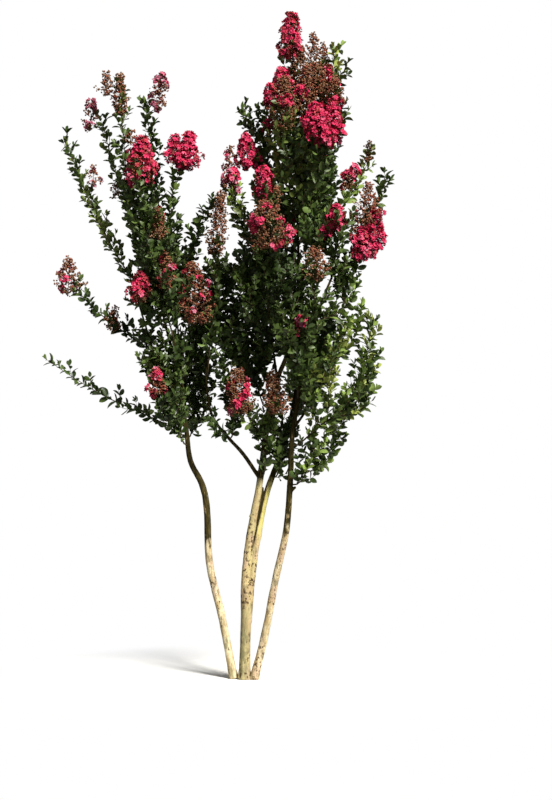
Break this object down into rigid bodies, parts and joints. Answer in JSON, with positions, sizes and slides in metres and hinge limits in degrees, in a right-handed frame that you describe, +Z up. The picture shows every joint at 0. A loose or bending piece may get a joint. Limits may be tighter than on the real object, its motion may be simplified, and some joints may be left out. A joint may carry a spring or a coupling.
{
  "type": "crape myrtle tree",
  "caption": "Young multi-stemmed crape myrtle tree with pale bare trunks, an upright airy crown of dark leaves and pink flower heads, rooted in level ground.",
  "frame": {"origin": "centre of the flat cut under the middle trunk, at ground level", "axes": "+Z up, +X to the right in the picture, +Y away from the viewer"},
  "size_m": [2.1435, 1.1594, 4],
  "materials": {
    "bark_light": "smooth flaking bark, cream and tan",
    "bark_dark": "bark in the crown's shade",
    "foliage_deep": "glossy leaves",
    "foliage_olive": "glossy leaves",
    "foliage_light": "young leaves",
    "blossom_pink": "crinkled petals",
    "seed_brown": "dry seed capsules"
  },
  "bodies": {
    "root": {"back_left": "foliage_deep", "back_low": "foliage_deep", "back_mid": "foliage_deep", "back_upper": "foliage_deep", "big_right": "blossom_pink", "bloom_mid": "blossom_pink", "bloom_middle": "blossom_pink", "bough_back": "bark_dark", "bough_front": "bark_dark", "bough_left_back": "bark_dark", "bough_left_front": "bark_dark", "bough_left_outer": "bark_dark", "bough_left_up": "bark_dark", "bough_middle": "bark_dark", "bough_right_low": "bark_dark", "bough_right_up": "bark_dark", "bough_upper_left": "bark_dark", "centre_low": "foliage_olive", "left_back": "foliage_deep", "left_cone": "blossom_pink", "left_front": "foliage_deep", "left_high": "foliage_olive", "left_inner": "blossom_pink", "left_low": "foliage_deep", "left_low_back": "foliage_deep", "left_mid": "foliage_deep", "left_out": "foliage_deep", "left_shoulder": "foliage_deep", "left_side": "foliage_deep", "left_tall": "foliage_deep", "left_top": "foliage_deep", "low_left": "foliage_deep", "mass_centre": "foliage_deep", "mass_middle": "foliage_deep", "mass_right_low": "foliage_light", "mass_top": "foliage_deep", "mass_upper": "foliage_deep", "mid_left": "foliage_deep", "mid_right": "blossom_pink", "middle_heart": "foliage_deep", "middle_leafy": "foliage_deep", "middle_low": "foliage_olive", "middle_seed": "seed_brown", "right_big": "blossom_pink", "right_edge": "foliage_light", "right_foot": "foliage_light", "right_high": "foliage_deep", "right_low": "foliage_light", "right_mid": "foliage_deep", "seed_centre": "seed_brown", "seed_mid": "seed_brown", "small_left": "foliage_olive", "stem_centre": "bark_dark", "stem_low": "bark_dark", "stem_right": "bark_dark", "top_bloom": "blossom_pink", "top_left": "seed_brown", "trunk_centre": "bark_light", "trunk_left": "bark_light", "trunk_right": "bark_light"}
  },
  "joints": []
}
